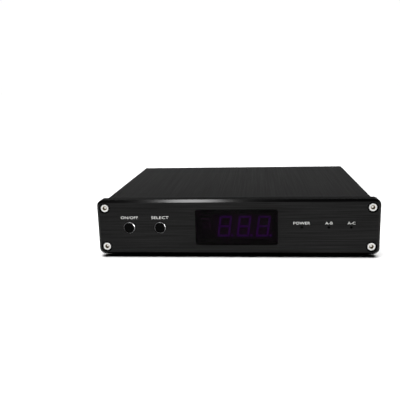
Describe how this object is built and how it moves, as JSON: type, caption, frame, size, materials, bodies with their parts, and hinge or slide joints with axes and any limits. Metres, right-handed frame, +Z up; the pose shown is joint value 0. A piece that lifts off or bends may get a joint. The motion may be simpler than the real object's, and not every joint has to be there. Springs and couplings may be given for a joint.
{
  "type": "speaker selector switch",
  "caption": "Low black aluminium speaker selector with push buttons, a digital display window and screw-cap binding posts at the rear.",
  "frame": {"origin": "bottom centre of the whole object's box, on the table under the feet", "axes": "+X to the right seen from the front, +Y to the rear, +Z up"},
  "size_m": [0.185, 0.162, 0.0393],
  "materials": {
    "black_anodised": "brushed and black anodised",
    "case_black": "fine brushed, black anodised",
    "rear_black": "black powder coat",
    "bright_steel": "stainless, turned heads",
    "black_steel": "black oxide",
    "rubber": "moulded rubber",
    "window_acrylic": "smoked acrylic with a printed border",
    "module_plastic": "moulded display reflector",
    "segment_diffuser": "unlit diffuser",
    "receiver_epoxy": "infrared-pass epoxy",
    "board_green": "solder mask on glass-epoxy laminate",
    "brass_nickel": "nickel plated brass",
    "brass_gold": "gold flashed brass",
    "light_guide": "smoked clear plastic",
    "led_epoxy": "clear epoxy",
    "switch_plastic": "moulded nylon",
    "relay_plastic": "moulded relay cover",
    "capacitor_sleeve": "shrink sleeve",
    "chip_epoxy": "moulded epoxy",
    "jack_plastic": "moulded nylon",
    "ribbon_grey": "grey flat cable",
    "header_plastic": "moulded nylon",
    "wire_insulation": "soft vinyl insulation",
    "post_insulator": "moulded insulator",
    "cap_red": "moulded red cap",
    "cap_black": "moulded black cap",
    "button_aluminium": "turned, black anodised, bright bevel"
  },
  "bodies": {
    "root": {"front_panel": "black_anodised", "rear_panel": "rear_black", "upper_case": "case_black", "lower_case": "case_black", "front_screws": "bright_steel", "rear_screws": "black_steel", "rubber_feet": "rubber", "display_window": "window_acrylic", "display_module": "module_plastic", "display_segments": "segment_diffuser", "infrared_receiver": "receiver_epoxy", "front_board": "board_green", "front_board_screws": "bright_steel", "front_board_spacers": "brass_nickel", "light_guides": "light_guide", "indicator_leds": "led_epoxy", "tact_switches": "switch_plastic", "main_board": "board_green", "board_standoffs": "brass_nickel", "board_screws": "black_steel", "relays": "relay_plastic", "capacitors": "capacitor_sleeve", "control_chips": "chip_epoxy", "voltage_regulator": "chip_epoxy", "dc_jack": "jack_plastic", "dc_jack_pin": "brass_nickel", "ribbon_cable": "ribbon_grey", "ribbon_connectors": "switch_plastic", "wire_headers": "header_plastic", "post_stems": "brass_gold", "post_flanges": "post_insulator", "post_washers": "post_insulator", "post_nuts": "brass_nickel", "speaker_wires": "wire_insulation"},
    "power_button_body": {"power_button": "button_aluminium"},
    "select_button_body": {"select_button": "button_aluminium"},
    "post_insert_a_left_plus_body": {"post_insert_a_left_plus": "brass_gold"},
    "post_cap_a_left_plus_body": {"post_cap_a_left_plus": "cap_red"},
    "post_insert_a_left_minus_body": {"post_insert_a_left_minus": "brass_gold"},
    "post_cap_a_left_minus_body": {"post_cap_a_left_minus": "cap_black"},
    "post_insert_a_right_plus_body": {"post_insert_a_right_plus": "brass_gold"},
    "post_cap_a_right_plus_body": {"post_cap_a_right_plus": "cap_red"},
    "post_insert_a_right_minus_body": {"post_insert_a_right_minus": "brass_gold"},
    "post_cap_a_right_minus_body": {"post_cap_a_right_minus": "cap_black"},
    "post_insert_b_left_plus_body": {"post_insert_b_left_plus": "brass_gold"},
    "post_cap_b_left_plus_body": {"post_cap_b_left_plus": "cap_red"},
    "post_insert_b_left_minus_body": {"post_insert_b_left_minus": "brass_gold"},
    "post_cap_b_left_minus_body": {"post_cap_b_left_minus": "cap_black"},
    "post_insert_b_right_plus_body": {"post_insert_b_right_plus": "brass_gold"},
    "post_cap_b_right_plus_body": {"post_cap_b_right_plus": "cap_red"},
    "post_insert_b_right_minus_body": {"post_insert_b_right_minus": "brass_gold"},
    "post_cap_b_right_minus_body": {"post_cap_b_right_minus": "cap_black"},
    "post_insert_c_left_plus_body": {"post_insert_c_left_plus": "brass_gold"},
    "post_cap_c_left_plus_body": {"post_cap_c_left_plus": "cap_red"},
    "post_insert_c_left_minus_body": {"post_insert_c_left_minus": "brass_gold"},
    "post_cap_c_left_minus_body": {"post_cap_c_left_minus": "cap_black"},
    "post_insert_c_right_plus_body": {"post_insert_c_right_plus": "brass_gold"},
    "post_cap_c_right_plus_body": {"post_cap_c_right_plus": "cap_red"},
    "post_insert_c_right_minus_body": {"post_insert_c_right_minus": "brass_gold"},
    "post_cap_c_right_minus_body": {"post_cap_c_right_minus": "cap_black"}
  },
  "joints": [
    {"name": "power_button_press", "type": "slide", "parent": "root", "child": "power_button_body", "axis": [0, 1, 0], "range_m": [0, 0.0004], "stiffness_N_per_m": 4000, "springref_m": -0.0001},
    {"name": "select_button_press", "type": "slide", "parent": "root", "child": "select_button_body", "axis": [0, 1, 0], "range_m": [0, 0.0004], "stiffness_N_per_m": 4000, "springref_m": -0.0001},
    {"name": "post_a_left_plus_travel", "type": "slide", "parent": "root", "child": "post_insert_a_left_plus_body", "axis": [0, 1, 0], "range_m": [0, 0.005]},
    {"name": "post_a_left_plus_unscrew", "type": "hinge", "parent": "post_insert_a_left_plus_body", "child": "post_cap_a_left_plus_body", "pos_m": [0.04752, 0.0607, 0.0283], "axis": [0, 1, 0], "range_deg": [0, 1800]},
    {"name": "post_a_left_minus_travel", "type": "slide", "parent": "root", "child": "post_insert_a_left_minus_body", "axis": [0, 1, 0], "range_m": [0, 0.005]},
    {"name": "post_a_left_minus_unscrew", "type": "hinge", "parent": "post_insert_a_left_minus_body", "child": "post_cap_a_left_minus_body", "pos_m": [0.02848, 0.0607, 0.0283], "axis": [0, 1, 0], "range_deg": [0, 1800]},
    {"name": "post_a_right_plus_travel", "type": "slide", "parent": "root", "child": "post_insert_a_right_plus_body", "axis": [0, 1, 0], "range_m": [0, 0.005]},
    {"name": "post_a_right_plus_unscrew", "type": "hinge", "parent": "post_insert_a_right_plus_body", "child": "post_cap_a_right_plus_body", "pos_m": [0.04752, 0.0607, 0.0133], "axis": [0, 1, 0], "range_deg": [0, 1800]},
    {"name": "post_a_right_minus_travel", "type": "slide", "parent": "root", "child": "post_insert_a_right_minus_body", "axis": [0, 1, 0], "range_m": [0, 0.005]},
    {"name": "post_a_right_minus_unscrew", "type": "hinge", "parent": "post_insert_a_right_minus_body", "child": "post_cap_a_right_minus_body", "pos_m": [0.02848, 0.0607, 0.0133], "axis": [0, 1, 0], "range_deg": [0, 1800]},
    {"name": "post_b_left_plus_travel", "type": "slide", "parent": "root", "child": "post_insert_b_left_plus_body", "axis": [0, 1, 0], "range_m": [0, 0.005]},
    {"name": "post_b_left_plus_unscrew", "type": "hinge", "parent": "post_insert_b_left_plus_body", "child": "post_cap_b_left_plus_body", "pos_m": [0.00153, 0.0607, 0.0283], "axis": [0, 1, 0], "range_deg": [0, 1800]},
    {"name": "post_b_left_minus_travel", "type": "slide", "parent": "root", "child": "post_insert_b_left_minus_body", "axis": [0, 1, 0], "range_m": [0, 0.005]},
    {"name": "post_b_left_minus_unscrew", "type": "hinge", "parent": "post_insert_b_left_minus_body", "child": "post_cap_b_left_minus_body", "pos_m": [-0.01752, 0.0607, 0.0283], "axis": [0, 1, 0], "range_deg": [0, 1800]},
    {"name": "post_b_right_plus_travel", "type": "slide", "parent": "root", "child": "post_insert_b_right_plus_body", "axis": [0, 1, 0], "range_m": [0, 0.005]},
    {"name": "post_b_right_plus_unscrew", "type": "hinge", "parent": "post_insert_b_right_plus_body", "child": "post_cap_b_right_plus_body", "pos_m": [0.00153, 0.0607, 0.0133], "axis": [0, 1, 0], "range_deg": [0, 1800]},
    {"name": "post_b_right_minus_travel", "type": "slide", "parent": "root", "child": "post_insert_b_right_minus_body", "axis": [0, 1, 0], "range_m": [0, 0.005]},
    {"name": "post_b_right_minus_unscrew", "type": "hinge", "parent": "post_insert_b_right_minus_body", "child": "post_cap_b_right_minus_body", "pos_m": [-0.01752, 0.0607, 0.0133], "axis": [0, 1, 0], "range_deg": [0, 1800]},
    {"name": "post_c_left_plus_travel", "type": "slide", "parent": "root", "child": "post_insert_c_left_plus_body", "axis": [0, 1, 0], "range_m": [0, 0.005]},
    {"name": "post_c_left_plus_unscrew", "type": "hinge", "parent": "post_insert_c_left_plus_body", "child": "post_cap_c_left_plus_body", "pos_m": [-0.04448, 0.0607, 0.0283], "axis": [0, 1, 0], "range_deg": [0, 1800]},
    {"name": "post_c_left_minus_travel", "type": "slide", "parent": "root", "child": "post_insert_c_left_minus_body", "axis": [0, 1, 0], "range_m": [0, 0.005]},
    {"name": "post_c_left_minus_unscrew", "type": "hinge", "parent": "post_insert_c_left_minus_body", "child": "post_cap_c_left_minus_body", "pos_m": [-0.06352, 0.0607, 0.0283], "axis": [0, 1, 0], "range_deg": [0, 1800]},
    {"name": "post_c_right_plus_travel", "type": "slide", "parent": "root", "child": "post_insert_c_right_plus_body", "axis": [0, 1, 0], "range_m": [0, 0.005]},
    {"name": "post_c_right_plus_unscrew", "type": "hinge", "parent": "post_insert_c_right_plus_body", "child": "post_cap_c_right_plus_body", "pos_m": [-0.04448, 0.0607, 0.0133], "axis": [0, 1, 0], "range_deg": [0, 1800]},
    {"name": "post_c_right_minus_travel", "type": "slide", "parent": "root", "child": "post_insert_c_right_minus_body", "axis": [0, 1, 0], "range_m": [0, 0.005]},
    {"name": "post_c_right_minus_unscrew", "type": "hinge", "parent": "post_insert_c_right_minus_body", "child": "post_cap_c_right_minus_body", "pos_m": [-0.06352, 0.0607, 0.0133], "axis": [0, 1, 0], "range_deg": [0, 1800]}
  ],
  "couplings": [
    {"joint": "post_a_left_plus_unscrew", "follows": "post_a_left_plus_travel", "rad_per_m": 6283.2},
    {"joint": "post_a_left_minus_unscrew", "follows": "post_a_left_minus_travel", "rad_per_m": 6283.2},
    {"joint": "post_a_right_plus_unscrew", "follows": "post_a_right_plus_travel", "rad_per_m": 6283.2},
    {"joint": "post_a_right_minus_unscrew", "follows": "post_a_right_minus_travel", "rad_per_m": 6283.2},
    {"joint": "post_b_left_plus_unscrew", "follows": "post_b_left_plus_travel", "rad_per_m": 6283.2},
    {"joint": "post_b_left_minus_unscrew", "follows": "post_b_left_minus_travel", "rad_per_m": 6283.2},
    {"joint": "post_b_right_plus_unscrew", "follows": "post_b_right_plus_travel", "rad_per_m": 6283.2},
    {"joint": "post_b_right_minus_unscrew", "follows": "post_b_right_minus_travel", "rad_per_m": 6283.2},
    {"joint": "post_c_left_plus_unscrew", "follows": "post_c_left_plus_travel", "rad_per_m": 6283.2},
    {"joint": "post_c_left_minus_unscrew", "follows": "post_c_left_minus_travel", "rad_per_m": 6283.2},
    {"joint": "post_c_right_plus_unscrew", "follows": "post_c_right_plus_travel", "rad_per_m": 6283.2},
    {"joint": "post_c_right_minus_unscrew", "follows": "post_c_right_minus_travel", "rad_per_m": 6283.2}
  ]
}
